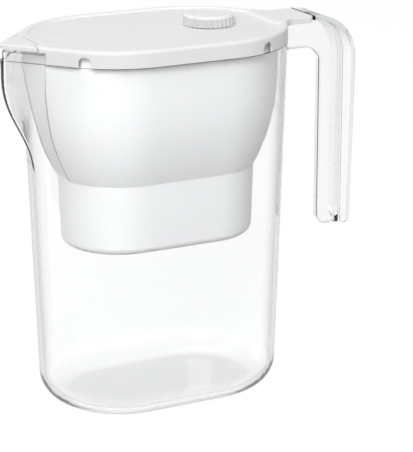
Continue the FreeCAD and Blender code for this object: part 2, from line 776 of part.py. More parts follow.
# Lid
lid_under = hopper_top
lid_top = lid_under + of("lid_crest")
skirt_bottom = of("rim_height") + of("running_gap")
skirt_radius = lip_radius + of("running_gap")
skirt_reach = rim_reach - lip_step + of("running_gap")
dish_floor = lid_top - of("lid_dish_depth")
flap_axis_out = rim_reach - of("flap_axis_reach")
flap_axis = -flap_axis_out
flap_middle = lid_under + of("flap_lift") + of("flap_thickness") / 2

lid_shell = new_body("lid_shell")
lid_plan = beaked(lid_shell, "lid_plan", skirt_bottom, rim_radius, rim_reach, of("beak_tip_round"))
pad(lid_shell, "lid_block", lid_plan, lid_top - skirt_bottom)
fillet(lid_shell, "lid_edge_round", of("lid_edge_round"), level_at(lid_top))
dish_plan = stadium(lid_shell, "lid_dish_plan", lid_top, rim_radius - of("lid_border_width"))
pocket(lid_shell, "lid_dish", dish_plan, of("lid_dish_depth"))
fillet(lid_shell, "lid_dish_round", of("lid_dish_round"), level_at(dish_floor))
dish_edge = (rim_radius - of("lid_border_width")).number
fillet(lid_shell, "lid_border_round", of("lid_border_round"),
       lambda edge: level_at(lid_top)(edge) and edge.BoundBox.YMax < dish_edge + 1e-3
       and edge.BoundBox.YMin > -dish_edge - 1e-3)
stem_bore = of("knob_stem_radius") + of("knob_stem_clearance")
bore_plan = round_hole(lid_shell, "lid_bore_plan", dish_floor, of("knob_reach"), stem_bore)
pocket(lid_shell, "lid_bore", bore_plan, dish_floor - lid_under)

# Room under the lid for the jug's lip and the hopper's flange
lid_inside = new_body("lid_inside")
inside_bottom = skirt_bottom - of("cut_overshoot")
inside_plan = beaked(lid_inside, "lid_inside_plan", inside_bottom, skirt_radius, skirt_reach,
                     of("beak_tip_round") - lip_step + of("running_gap"))
pad(lid_inside, "lid_inside_block", inside_plan, lid_under - inside_bottom)

tab_root = spine_half + rim_radius - of("lid_border_width") * 2
tab_bottom = handle_top - of("lid_tab_thickness")


def flared_tab(name):
    """Plan of the tab: concave sides that leave the lid's end arc, and a squared end."""
    body = new_body(name)
    sketch = new_sketch(body, name + "_plan", height=tab_bottom)
    half, flare, corner = of("lid_tab_width") / 2, of("lid_tab_flare"), of("lid_tab_corner")
    reach = rim_radius + flare
    side = half + flare
    along = root(reach * reach - side * side)
    touch_x = spine_half + along * rim_radius / reach
    touch_y = side * rim_radius / reach
    centre_x, end_x = spine_half + along, of("lid_tab_end")
    x0, xt, xc, xe = tab_root.number, touch_x.number, centre_x.number, end_x.number
    yt, yc, h = touch_y.number, side.number, half.number
    r, c = flare.number, corner.number
    turn = math.atan2(yc, xc - spine_half.number)
    back = sketch.addGeometry(line((x0, yt), (x0, -yt)))
    near_in = sketch.addGeometry(line((x0, -yt), (xt, -yt)))
    near_flare = sketch.addGeometry(arc((xc, -yc), r, math.pi / 2, math.pi - turn))
    near_side = sketch.addGeometry(line((xc, -h), (xe - c, -h)))
    near_corner = sketch.addGeometry(arc((xe - c, c - h), c, -math.pi / 2, 0))
    tip = sketch.addGeometry(line((xe, c - h), (xe, h - c)))
    far_corner = sketch.addGeometry(arc((xe - c, h - c), c, 0, math.pi / 2))
    far_side = sketch.addGeometry(line((xe - c, h), (xc, h)))
    far_flare = sketch.addGeometry(arc((xc, yc), r, math.pi + turn, 3 * math.pi / 2))
    far_in = sketch.addGeometry(line((xt, yt), (x0, yt)))
    for joint in ((back, END, near_in, START), (near_in, END, near_flare, END),
                  (far_flare, START, far_in, START), (far_in, END, back, START)):
        sketch.addConstraint(Sketcher.Constraint("Coincident", *joint))
    for joint in ((near_flare, START, near_side, START), (near_side, END, near_corner, START),
                  (near_corner, END, tip, START), (tip, END, far_corner, START),
                  (far_corner, END, far_side, START), (far_side, END, far_flare, END)):
        tangent(sketch, *joint)
    for edge in (near_in, far_in, near_side, far_side):
        sketch.addConstraint(Sketcher.Constraint("Horizontal", edge))
    sketch.addConstraint(Sketcher.Constraint("Symmetric", back, START, back, END, X_AXIS))
    sketch.addConstraint(Sketcher.Constraint("Symmetric", tip, START, tip, END, X_AXIS))
    sketch.addConstraint(Sketcher.Constraint("Equal", near_corner, far_corner))
    sketch.addConstraint(Sketcher.Constraint("Equal", near_flare, far_flare))
    dimension(sketch, "tab_root", tab_root, "DistanceX", *ORIGIN, back, START)
    dimension(sketch, "flare_width", touch_y * 2, "DistanceY", back, END, back, START)
    dimension(sketch, "flare_near", touch_x, "DistanceX", *ORIGIN, near_in, END)
    dimension(sketch, "flare_far", touch_x, "DistanceX", *ORIGIN, far_in, START)
    dimension(sketch, "tab_width", half * 2, "DistanceY", near_side, START, far_side, END)
    dimension(sketch, "tab_end", end_x, "DistanceX", *ORIGIN, tip, START)
    dimension(sketch, "tab_corner", corner, "Radius", near_corner)
    dimension(sketch, "tab_flare", flare, "Radius", near_flare)
    pad(body, name + "_plate", sketch, of("lid_tab_thickness"))
    fillet(body, name + "_edge", of("lid_tab_edge_round"),
           lambda edge: level_at(handle_top)(edge) and edge.BoundBox.XMax > xt + 1)
    return body


lid_tab = flared_tab("lid_tab")

# A shallow scoop in the dish, for the finger that lifts the flap
dimple = doc.addObject("Part::Sphere", "lid_dimple")
dimple_radius, dimple_depth = of("lid_dimple_radius"), of("lid_dimple_depth")
dimple_ball = (dimple_radius * dimple_radius + dimple_depth * dimple_depth) / (dimple_depth * 2)
bind(dimple, "Radius", dimple_ball)
bind(dimple, "Placement.Base.x", -of("lid_dimple_reach"))
bind(dimple, "Placement.Base.z", dish_floor - dimple_depth + dimple_ball)

far_out = rim_reach + of("cut_overshoot")
wide_out = rim_radius + of("cut_overshoot")
below_lid = lid_under - of("cut_overshoot")
above_lid = lid_top + of("cut_overshoot")
beak_opening = block("beak_opening", (-far_out, -wide_out, inside_bottom),
                     (-of("lid_skirt_start"), wide_out, lid_under))
lug_face = flap_axis_out + of("flap_lug_gap")
flap_room = block("flap_room", (-far_out, -wide_out, below_lid), (-lug_face, wide_out, above_lid))
knuckle = of("flap_thickness") / 2
tongue_half = of("flap_tongue_width") / 2
tongue_room_half = tongue_half + of("running_gap")
tongue_room = block("tongue_room", (-far_out, -tongue_room_half, below_lid),
                    (flap_axis + knuckle + of("running_gap") * 2, tongue_room_half, above_lid))


def pin_rod(name, radius, half_length):
    """A round rod along Y on the flap's hinge axis."""
    body = new_body(name)
    sketch = new_sketch(body, name + "_section", "XZ_Plane")
    ring = Part.Circle(vector(flap_axis.number, flap_middle.number), FreeCAD.Vector(0, 0, 1), radius.number)
    index = sketch.addGeometry(ring)
    dimension(sketch, "axis_x", flap_axis, "DistanceX", *ORIGIN, index, MIDDLE)
    dimension(sketch, "axis_z", flap_middle, "DistanceY", *ORIGIN, index, MIDDLE)
    dimension(sketch, "rod_radius", radius, "Radius", index)
    pad(body, name + "_rod", sketch, half_length * 2, symmetric=True)
    return body


pin_half = tongue_half + of("flap_pin_length")
pin_sockets = pin_rod("pin_sockets", of("flap_pin_radius") + of("flap_pin_clearance"),
                      pin_half + of("running_gap"))


def skirt_notch(name, centre_x, angle):
    """An arch cut through the skirt at an angle round one of the end arcs."""
    body = new_body(name)
    sketch = new_sketch(body, name + "_arch", "XZ_Plane", lip_radius - lip_step)
    half = of("lid_notch_width") / 2
    crown = skirt_bottom + of("lid_notch_rise") - half
    low = skirt_bottom - of("cut_overshoot")
    h, c, z = half.number, crown.number, low.number
    foot = sketch.addGeometry(line((-h, z), (h, z)))
    right = sketch.addGeometry(line((h, z), (h, c)))
    arch = sketch.addGeometry(arc((0, c), h, 0, math.pi))
    left = sketch.addGeometry(line((-h, c), (-h, z)))
    sketch.addConstraint(Sketcher.Constraint("Coincident", foot, END, right, START))
    tangent(sketch, right, END, arch, START)
    tangent(sketch, arch, END, left, START)
    sketch.addConstraint(Sketcher.Constraint("Coincident", left, END, foot, START))
    sketch.addConstraint(Sketcher.Constraint("Horizontal", foot))
    sketch.addConstraint(Sketcher.Constraint("Vertical", right))
    sketch.addConstraint(Sketcher.Constraint("PointOnObject", arch, MIDDLE, Y_AXIS))
    dimension(sketch, "arch_radius", half, "Radius", arch)
    dimension(sketch, "arch_crown", crown, "DistanceY", *ORIGIN, arch, MIDDLE)
    dimension(sketch, "arch_foot", low, "DistanceY", *ORIGIN, foot, START)
    pad(body, name + "_cut", sketch, lip_step * 3)
    body.Placement.Rotation = FreeCAD.Rotation(FreeCAD.Vector(0, 0, 1), angle.number)
    bind(body, "Placement.Rotation.Angle", angle)
    bind(body, "Placement.Base.x", centre_x)
    return body


notches = []
for name, centre_x, angle in (
    ("notch_front_near", -spine_half, of("lid_notch_front_angle") - 90.0),
    ("notch_front_far", -spine_half, -of("lid_notch_front_angle") - 90.0),
    ("notch_rear_near", spine_half, -of("lid_notch_rear_angle") + 90.0),
    ("notch_rear_far", spine_half, of("lid_notch_rear_angle") + 90.0),
):
    notches.append(skirt_notch(name, centre_x, angle))

lid_full = fused("lid_full", lid_shell, lid_tab)
lid_cuts = fused("lid_cuts", lid_inside, beak_opening, flap_room, tongue_room, pin_sockets, dimple, *notches)
lid = boolean("Cut", "lid", lid_full, lid_cuts)

# Spout flap
flap_bottom = lid_under + of("flap_lift")
flap_plate = new_body("flap_plate")
flap_plan = beaked(flap_plate, "flap_plan", flap_bottom, rim_radius, rim_reach, of("beak_tip_round"))
pad(flap_plate, "flap_block", flap_plan, of("flap_thickness"))
fillet(flap_plate, "flap_edge_round", of("flap_edge_round"), level_at(flap_bottom + of("flap_thickness")))
flap_edge = flap_axis_out + of("flap_root_gap")
flap_side = block("flap_side", (-far_out, -wide_out, below_lid), (-flap_edge, wide_out, above_lid))
flap_tongue = block("flap_tongue", (-(flap_edge + of("flap_thickness")), -tongue_half, flap_bottom),
                    (flap_axis, tongue_half, flap_bottom + of("flap_thickness")))
spout_flap = fused("spout_flap", boolean("Common", "flap_beak", flap_plate, flap_side), flap_tongue,
                   pin_rod("flap_knuckle", knuckle, tongue_half),
                   pin_rod("flap_pins", of("flap_pin_radius"), pin_half))

# Reminder knob, modelled on its own axis and placed at the lid's bore
knob_bottom = dish_floor + of("knob_lift")
knob_top = knob_bottom + of("knob_height")
clip_top = lid_under - of("layer_gap")
clip_bottom = clip_top - of("knob_clip_thickness")
stem_bottom = clip_bottom - of("knob_stem_tail")


def on_knob_axis(name):
    body = new_body(name)
    bind(body, "Placement.Base.x", of("knob_reach"))
    return body


reminder_knob = on_knob_axis("reminder_knob")
knob_foot = round_hole(reminder_knob, "knob_foot", knob_bottom, 0.0, of("knob_radius"))
knob_head = round_hole(reminder_knob, "knob_head", knob_top, 0.0, of("knob_top_radius"))
loft(reminder_knob, "knob_cone", [knob_foot, knob_head], ruled=True)
fillet(reminder_knob, "knob_edge_round", of("knob_edge_round"), level_at(knob_top))
stem_plan = round_hole(reminder_knob, "stem_plan", stem_bottom, 0.0, of("knob_stem_radius"))
pad(reminder_knob, "knob_stem", stem_plan, knob_bottom - stem_bottom)
ridge_plan = round_hole(reminder_knob, "ridge_plan", knob_bottom, of("knob_radius"), of("knob_ridge_radius"))
ridge_height = of("knob_height") - of("knob_edge_round")
ridge = pocket(reminder_knob, "knob_ridge", ridge_plan, ridge_height, upwards=True)
doc.recompute()
ridges = reminder_knob.newObject("PartDesign::PolarPattern", "knob_ridges")
ridges.Originals = [ridge]
ridges.Axis = (plane_of(reminder_knob, "Z_Axis"), [""])
ridges.Angle = 360
bind(ridges, "Occurrences", of("knob_ridge_count"))
reminder_knob.Tip = ridges

knob_ring = on_knob_axis("knob_ring")
ring_plan = round_hole(knob_ring, "ring_plan", dish_floor, 0.0, of("knob_ring_radius"))
pad(knob_ring, "ring_disc", ring_plan, of("knob_lift"))
ring_bore = round_hole(knob_ring, "ring_bore", dish_floor + of("knob_lift"), 0.0,
                       of("knob_ring_radius") - of("knob_ring_width"))
pocket(knob_ring, "ring_hole", ring_bore, of("knob_lift"))

knob_clip = on_knob_axis("knob_clip")
clip_plan = round_hole(knob_clip, "clip_plan", clip_bottom, 0.0, of("knob_clip_radius"))
pad(knob_clip, "clip_disc", clip_plan, of("knob_clip_thickness"))
clip_bore = round_hole(knob_clip, "clip_bore", clip_top, 0.0, of("knob_stem_radius"))
pocket(knob_clip, "clip_hole", clip_bore, of("knob_clip_thickness"))

# Filter cartridge, seated on the bucket's ledge
collar_bottom = bucket_ledge + of("cartridge_seal_thickness")
collar_top = collar_bottom + of("cartridge_collar_height")
cup_bottom = bucket_ledge - of("cartridge_body_depth")
cup_radius = throat_radius - of("cartridge_body_clearance")
collar_radius = bucket_radius(bucket_ledge) - of("cartridge_collar_clearance")
cup_inner = cup_radius - of("cartridge_wall")
cap_radius = collar_radius - of("cartridge_lip_width")
cap_top = collar_top - of("cartridge_cap_sink")
cap_bottom = cap_top - of("cartridge_cap_thickness")

cartridge_cup = new_body("cartridge_cup")
cup_plan = stadium(cartridge_cup, "cup_plan", cup_bottom, cup_radius)
pad(cartridge_cup, "cup_barrel", cup_plan, collar_top - cup_bottom)
collar_plan = stadium(cartridge_cup, "collar_plan", collar_bottom, collar_radius)
pad(cartridge_cup, "cup_collar", collar_plan, of("cartridge_collar_height"))
fillet(cartridge_cup, "collar_round", of("cartridge_lip_width") / 4, level_at(collar_top))
cap_seat = stadium(cartridge_cup, "cap_seat", collar_top, cap_radius)
pocket(cartridge_cup, "cap_recess", cap_seat, collar_top - cap_bottom)
cup_hollow = stadium(cartridge_cup, "cup_hollow", cap_bottom, cup_inner)
cup_floor_top = cup_bottom + of("cartridge_floor")
pocket(cartridge_cup, "cup_inside", cup_hollow, cap_bottom - cup_floor_top)


def repeat_round(body, name, seed, depth, count):
    """Cuts the seed sketch upwards and repeats it round the sketch's own upright axis."""
    cut = pocket(body, name, seed, depth, upwards=True)
    doc.recompute()
    ring = body.newObject("PartDesign::PolarPattern", name + "_ring")
    ring.Originals = [cut]
    ring.Axis = (seed, ["N_Axis"])
    ring.Angle = 360
    bind(ring, "Occurrences", count)
    body.Tip = ring


for side, reach in (("front", -spine_half), ("rear", spine_half)):
    seed = round_hole(cartridge_cup, f"outlet_seed_{side}", cup_bottom, of("outlet_ring_radius"),
                      of("outlet_hole_radius"))
    bind(seed, "AttachmentOffset.Base.x", reach)
    repeat_round(cartridge_cup, f"outlet_holes_{side}", seed, of("cartridge_floor"), of("outlet_hole_count"))

cartridge_cap = new_body("cartridge_cap")
cap_plan = stadium(cartridge_cap, "cap_plan", cap_bottom, cap_radius - of("layer_gap"))
pad(cartridge_cap, "cap_plate", cap_plan, of("cartridge_cap_thickness"))


def hood():
    """A hooded grip: an arch turned about its own chord, open towards -X."""
    sketch = new_sketch(cartridge_cap, "hood_section", "YZ_Plane")
    bind(sketch, "AttachmentOffset.Base.y", cap_top)
    half, rise, wall = of("hood_width") / 2, of("hood_rise"), of("hood_wall")
    radius = (half * half + rise * rise) / (rise * 2)
    w, r, t = half.number, radius.number, wall.number
    centre = rise.number - r
    spread = math.asin(w / r)
    inner = math.acos(-centre / (r - t))
    inner_half = (r - t) * math.sin(inner)
    outside = sketch.addGeometry(arc((0, centre), r, math.pi / 2 - spread, math.pi / 2 + spread))
    inside = sketch.addGeometry(arc((0, centre), r - t, math.pi / 2 - inner, math.pi / 2 + inner))
    left = sketch.addGeometry(line((-w, 0), (-inner_half, 0)))
    right = sketch.addGeometry(line((inner_half, 0), (w, 0)))
    for joint in ((outside, END, left, START), (left, END, inside, END),
                  (inside, START, right, START), (right, END, outside, START)):
        sketch.addConstraint(Sketcher.Constraint("Coincident", *joint))
    sketch.addConstraint(Sketcher.Constraint("Coincident", outside, MIDDLE, inside, MIDDLE))
    sketch.addConstraint(Sketcher.Constraint("PointOnObject", outside, MIDDLE, Y_AXIS))
    for point in ((outside, START), (outside, END), (inside, START), (inside, END)):
        sketch.addConstraint(Sketcher.Constraint("PointOnObject", *point, X_AXIS))
    dimension(sketch, "chord", half * 2, "DistanceX", outside, END, outside, START)
    dimension(sketch, "outer_radius", radius, "Radius", outside)
    dimension(sketch, "inner_radius", radius - wall, "Radius", inside)
    turn = cartridge_cap.newObject("PartDesign::Revolution", "hood")
    turn.Profile = sketch
    turn.ReferenceAxis = (sketch, ["H_Axis"])
    turn.Angle = 90


hood()


def slot_seed(side, reach, ring, inner):
    half = of("slot_width") / 2
    sketch = square_cornered(cartridge_cap, f"slot_seed_{side}_{ring}", [
        (inner, -half), (inner + of("slot_length"), -half), (inner + of("slot_length"), half), (inner, half),
    ], role="XY_Plane", height=cap_bottom)
    bind(sketch, "AttachmentOffset.Base.x", reach)
    return sketch


for side, reach in (("front", -spine_half), ("rear", spine_half)):
    inner_ring = slot_seed(side, reach, "inner", of("slot_inner_radius"))
    outer_ring = slot_seed(side, reach, "outer", of("slot_outer_radius"))
    repeat_round(cartridge_cap, f"slots_{side}_inner", inner_ring, of("cartridge_cap_thickness"),
                 of("slot_inner_count"))
    repeat_round(cartridge_cap, f"slots_{side}_outer", outer_ring, of("cartridge_cap_thickness"),
                 of("slot_outer_count"))


def layer(name, bottom, top, radius):
    """A filter layer: a slab that fills the cup's plan between two heights."""
    body = new_body(name)
    plan = stadium(body, name + "_plan", bottom, radius)
    pad(body, name + "_slab", plan, top - bottom)
    return body


layer_radius = cup_inner - of("layer_gap")
mesh_top = cup_floor_top + of("mesh_thickness")
resin_top = mesh_top + of("resin_depth")
middle_top = resin_top + of("felt_thickness")
inlet_bottom = cap_bottom - of("felt_thickness")
outlet_mesh = layer("outlet_mesh", cup_floor_top, mesh_top, layer_radius)
resin_bed = layer("resin_bed", mesh_top, resin_top, layer_radius)
middle_felt = layer("middle_felt", resin_top, middle_top, layer_radius)
carbon_bed = layer("carbon_bed", middle_top, inlet_bottom, layer_radius)
inlet_felt = layer("inlet_felt", inlet_bottom, cap_bottom, layer_radius)

cartridge_seal = new_body("cartridge_seal")
seal_plan = stadium(cartridge_seal, "seal_plan", bucket_ledge, cup_radius + of("cartridge_seal_width"))
pad(cartridge_seal, "seal_slab", seal_plan, of("cartridge_seal_thickness"))
seal_bore = stadium(cartridge_seal, "seal_bore", collar_bottom, cup_radius)
pocket(cartridge_seal, "seal_hole", seal_bore, of("cartridge_seal_thickness"))

# Checks and export
pieces = [jug, handle, hopper, lid, spout_flap, reminder_knob, knob_ring, knob_clip, cartridge_cup,
          cartridge_cap, cartridge_seal, inlet_felt, carbon_bed, middle_felt, resin_bed, outlet_mesh]
doc.recompute()
failed = [item.Name for item in doc.Objects if "Invalid" in item.State or "Error" in item.State]
if failed:
    raise RuntimeError(f"features failed: {failed}")
for piece in pieces:
    if piece.Shape.isNull() or not piece.Shape.isValid():
        raise RuntimeError(f"bad shape: {piece.Label}")
os.makedirs("parts", exist_ok=True)
for piece in pieces:
    piece.Shape.exportStep(f"parts/{piece.Label}.step")
    box = piece.Shape.optimalBoundingBox(False)
    spans = [f"{v:.1f}" for v in (box.XMin, box.XMax, box.YMin, box.YMax, box.ZMin, box.ZMax)]
    print(piece.Label, len(piece.Shape.Solids), f"{piece.Shape.Volume / 1000:.2f} cm3", *spans)
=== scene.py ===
import math

import bmesh
import bpy
from mathutils import Matrix, Vector


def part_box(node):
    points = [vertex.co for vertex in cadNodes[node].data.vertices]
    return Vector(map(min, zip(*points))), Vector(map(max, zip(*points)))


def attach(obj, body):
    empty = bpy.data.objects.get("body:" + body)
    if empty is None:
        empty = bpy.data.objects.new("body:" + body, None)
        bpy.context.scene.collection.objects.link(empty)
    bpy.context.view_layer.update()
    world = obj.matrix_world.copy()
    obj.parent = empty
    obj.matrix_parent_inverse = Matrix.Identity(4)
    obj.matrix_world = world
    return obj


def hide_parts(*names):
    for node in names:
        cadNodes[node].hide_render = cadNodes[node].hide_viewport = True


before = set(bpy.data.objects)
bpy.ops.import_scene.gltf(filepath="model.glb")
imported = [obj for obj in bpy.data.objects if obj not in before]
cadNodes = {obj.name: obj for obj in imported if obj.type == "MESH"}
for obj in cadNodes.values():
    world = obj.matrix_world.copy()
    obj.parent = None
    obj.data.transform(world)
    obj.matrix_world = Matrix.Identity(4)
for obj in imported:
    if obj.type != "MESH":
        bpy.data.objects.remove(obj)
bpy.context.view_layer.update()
scene = bpy.context.scene
print("frame loaded:", len(cadNodes), "nodes")


# camera: standing at the photograph's viewing angle
cameraSpot = {
    "target": (0.0, 0.0, 0.1269),
    "azimuth": 25.11,
    "elevation": 17.39,
    "distance": 1.410,
    "aimRight": 0.03588,
    "aimUp": -0.00411,
    "focalPixels": 1950.0,
    "imageHeight": 452.0,
    "nearest": 0.05,
    "farthest": 50.0,
}


def makeCamera(spot):
    az = math.radians(spot["azimuth"])
    el = math.radians(spot["elevation"])
    level = math.cos(el)
    back = Vector((-math.sin(az) * level, -math.cos(az) * level, math.sin(el)))
    right = Vector((math.cos(az), -math.sin(az), 0.0))
    up = back.cross(right)
    target = Vector(spot["target"])
    eye = target + back * spot["distance"]
    aim = target + right * spot["aimRight"] + up * spot["aimUp"]
    data = bpy.data.cameras.new("camera")
    data.lens = spot["focalPixels"] * data.sensor_width / spot["imageHeight"]
    data.clip_start = spot["nearest"]
    data.clip_end = spot["farthest"]
    camera = bpy.data.objects.new("camera", data)
    camera.location = eye
    camera.rotation_mode = "QUATERNION"
    camera.rotation_quaternion = (aim - eye).to_track_quat("-Z", "Y")
    scene.collection.objects.link(camera)
    scene.camera = camera


makeCamera(cameraSpot)
print("camera set")


# small helpers for node trees
def addNode(tree, kind, place, **values):
    node = tree.nodes.new(kind)
    node.location = place
    for name, value in values.items():
        setattr(node, name, value)
    return node


def newMaterial(name):
    material = bpy.data.materials.new(name)
    material.use_nodes = True
    tree = material.node_tree
    tree.nodes.clear()
    out = addNode(tree, "ShaderNodeOutputMaterial", (700, 0))
    return material, tree, out


# smoothFaces: joins the loose triangles of a CAD mesh and keeps only its real edges sharp
smoothing = {
    "join": 0.000004, "sharpAngle": 32.0,
    # nodes with large flats that stay flat up to their rounds
    "flatNodes": ("handle", "lid", "spout_flap"),
}


def makeSmoothFaces(values):
    group = bpy.data.node_groups.new("smoothFaces", "GeometryNodeTree")
    group.interface.new_socket("Geometry", in_out="INPUT", socket_type="NodeSocketGeometry")
    group.interface.new_socket("Geometry", in_out="OUTPUT", socket_type="NodeSocketGeometry")
    start = addNode(group, "NodeGroupInput", (-800, 0))
    end = addNode(group, "NodeGroupOutput", (400, 0))
    joined = addNode(group, "GeometryNodeMergeByDistance", (-600, 0))
    joined.inputs["Distance"].default_value = values["join"]
    rounded = addNode(group, "GeometryNodeSetShadeSmooth", (-300, 0), domain="FACE")
    edged = addNode(group, "GeometryNodeSetShadeSmooth", (100, 0), domain="EDGE")
    edged.inputs["Shade Smooth"].default_value = False
    bend = addNode(group, "GeometryNodeInputMeshEdgeAngle", (-600, -300))
    sharp = addNode(group, "FunctionNodeCompare", (-300, -300),
                    data_type="FLOAT", operation="GREATER_THAN")
    sharp.inputs[1].default_value = math.radians(values["sharpAngle"])
    link = group.links.new
    link(start.outputs[0], joined.inputs["Geometry"])
    link(joined.outputs["Geometry"], rounded.inputs["Geometry"])
    link(rounded.outputs["Geometry"], edged.inputs["Geometry"])
    link(bend.outputs["Unsigned Angle"], sharp.inputs[0])
    link(sharp.outputs["Result"], edged.inputs["Selection"])
    link(edged.outputs["Geometry"], end.inputs[0])
    return group


smoothFaces = makeSmoothFaces(smoothing)
for node in cadNodes.values():
    node.modifiers.new("smoothFaces", "NODES").node_group = smoothFaces
for nodeName in smoothing["flatNodes"]:
    flats = cadNodes[nodeName].modifiers.new("flatFaces", "WEIGHTED_NORMAL")
    flats.keep_sharp = True
print("faces smoothed")


# mouldGrain: faint flow marks and grain of moulded plastic
mould = {
    "numbers": ("Scale", "Grain Scale", "Rough Low", "Rough High"),
    "colors": ("Light", "Shade"),
    "flowDetail": 3.0, "grainDetail": 2.0, "grainHeight": 0.25,
}


def makeMouldGrain(values):
    group = bpy.data.node_groups.new("mouldGrain", "ShaderNodeTree")
    face = group.interface
    for name in values["numbers"]:
        face.new_socket(name, in_out="INPUT", socket_type="NodeSocketFloat")
    for name in values["colors"]:
        face.new_socket(name, in_out="INPUT", socket_type="NodeSocketColor")
    face.new_socket("Color", in_out="OUTPUT", socket_type="NodeSocketColor")
    face.new_socket("Roughness", in_out="OUTPUT", socket_type="NodeSocketFloat")
    face.new_socket("Height", in_out="OUTPUT", socket_type="NodeSocketFloat")
    start = addNode(group, "NodeGroupInput", (-800, 0))
    end = addNode(group, "NodeGroupOutput", (600, 0))
    coords = addNode(group, "ShaderNodeTexCoord", (-800, 300))
    flow = addNode(group, "ShaderNodeTexNoise", (-500, 300))
    flow.inputs["Detail"].default_value = values["flowDetail"]
    grain = addNode(group, "ShaderNodeTexNoise", (-500, 0))
    grain.inputs["Detail"].default_value = values["grainDetail"]
    tint = addNode(group, "ShaderNodeMix", (0, 200), data_type="RGBA")
    rough = addNode(group, "ShaderNodeMapRange", (0, -100))
    height = addNode(group, "ShaderNodeMath", (0, -350), operation="MULTIPLY_ADD")
    height.inputs[1].default_value = values["grainHeight"]
    link = group.links.new
    link(coords.outputs["Object"], flow.inputs["Vector"])
    link(coords.outputs["Object"], grain.inputs["Vector"])
    link(start.outputs["Scale"], flow.inputs["Scale"])
    link(start.outputs["Grain Scale"], grain.inputs["Scale"])
    link(flow.outputs["Fac"], tint.inputs["Factor"])
    link(start.outputs["Shade"], tint.inputs["A"])
    link(start.outputs["Light"], tint.inputs["B"])
    link(grain.outputs["Fac"], rough.inputs["Value"])
    link(start.outputs["Rough Low"], rough.inputs["To Min"])
    link(start.outputs["Rough High"], rough.inputs["To Max"])
    link(grain.outputs["Fac"], height.inputs[0])
    link(flow.outputs["Fac"], height.inputs[2])
    link(tint.outputs["Result"], end.inputs["Color"])
    link(rough.outputs["Result"], end.inputs["Roughness"])
    link(height.outputs["Value"], end.inputs["Height"])
    return group


mouldGrain = makeMouldGrain(mould)


def useGrain(tree, finish):
    grain = addNode(tree, "ShaderNodeGroup", (-300, 0), node_tree=mouldGrain)
    for name in mould["numbers"]:
        grain.inputs[name].default_value = finish[name]
    for name in mould["colors"]:
        grain.inputs[name].default_value = (*finish[name], 1)
    bump = addNode(tree, "ShaderNodeBump", (0, -250))
    bump.inputs["Strength"].default_value = finish["bump"]
    bump.inputs["Distance"].default_value = finish["bumpDepth"]
    tree.links.new(grain.outputs["Height"], bump.inputs["Height"])
    return grain, bump


# clear plastic of the jug and handle, with how fast each takes up light
smokeOfNode = {"jug": 32.0, "handle": 50.0}
clearFinish = {
    "Scale": 9.0, "Grain Scale": 60.0,
    "Light": (1.0, 1.0, 1.0), "Shade": (0.985, 0.99, 0.992),
    "Rough Low": 0.0, "Rough High": 0.02,
    "ior": 1.49, "bump": 0.004, "bumpDepth": 0.0001,
    # the edge values set a painted shade that darkens the colour towards grazing angles
    "paintedEdgeShade": (0.24, 0.245, 0.25), "edgeBlend": 0.5, "edgeStart": 0.46, "edgeEnd": 1.0,
    "absorbColor": (0.80, 0.81, 0.82),
    "lampTint": (0.96, 0.965, 0.97),
}


def makeClearPlastic(name, finish, density):
    material, tree, out = newMaterial(name)
    grain, bump = useGrain(tree, finish)
    plastic = addNode(tree, "ShaderNodeBsdfPrincipled", (200, 0))
    plastic.inputs["Transmission Weight"].default_value = 1.0
    plastic.inputs["IOR"].default_value = finish["ior"]
    tint = addNode(tree, "ShaderNodeMix", (0, 150), data_type="RGBA")
    tint.inputs["B"].default_value = (*finish["paintedEdgeShade"], 1)
    # painted edge shade: the colour darkens where the surface turns edge-on to the view, standing
    # in for the darker look of a wall that is thicker to a slanting ray
    slant = addNode(tree, "ShaderNodeLayerWeight", (-600, 400))
    slant.inputs["Blend"].default_value = finish["edgeBlend"]
    edgeShadeMask = addNode(tree, "ShaderNodeMapRange", (-300, 400), interpolation_type="SMOOTHSTEP")
    edgeShadeMask.inputs["From Min"].default_value = finish["edgeStart"]
    edgeShadeMask.inputs["From Max"].default_value = finish["edgeEnd"]
    tree.links.new(slant.outputs["Facing"], edgeShadeMask.inputs["Value"])
    tree.links.new(edgeShadeMask.outputs["Result"], tint.inputs["Factor"])
    tree.links.new(grain.outputs["Color"], tint.inputs["A"])
    tree.links.new(tint.outputs["Result"], plastic.inputs["Base Color"])
    tree.links.new(grain.outputs["Roughness"], plastic.inputs["Roughness"])
    tree.links.new(bump.outputs["Normal"], plastic.inputs["Normal"])
    # lamps shine through the wall on what is behind it
    through = addNode(tree, "ShaderNodeBsdfTransparent", (200, -400))
    through.inputs["Color"].default_value = (*finish["lampTint"], 1)
    path = addNode(tree, "ShaderNodeLightPath", (200, 400))
    mix = addNode(tree, "ShaderNodeMixShader", (500, 0))
    tree.links.new(path.outputs["Is Shadow Ray"], mix.inputs["Fac"])
    tree.links.new(plastic.outputs["BSDF"], mix.inputs[1])
    tree.links.new(through.outputs["BSDF"], mix.inputs[2])
    tree.links.new(mix.outputs["Shader"], out.inputs["Surface"])
    smoke = addNode(tree, "ShaderNodeVolumeAbsorption", (500, -300))
    smoke.inputs["Color"].default_value = (*finish["absorbColor"], 1)
    smoke.inputs["Density"].default_value = density
    tree.links.new(smoke.outputs["Volume"], out.inputs["Volume"])
    return material
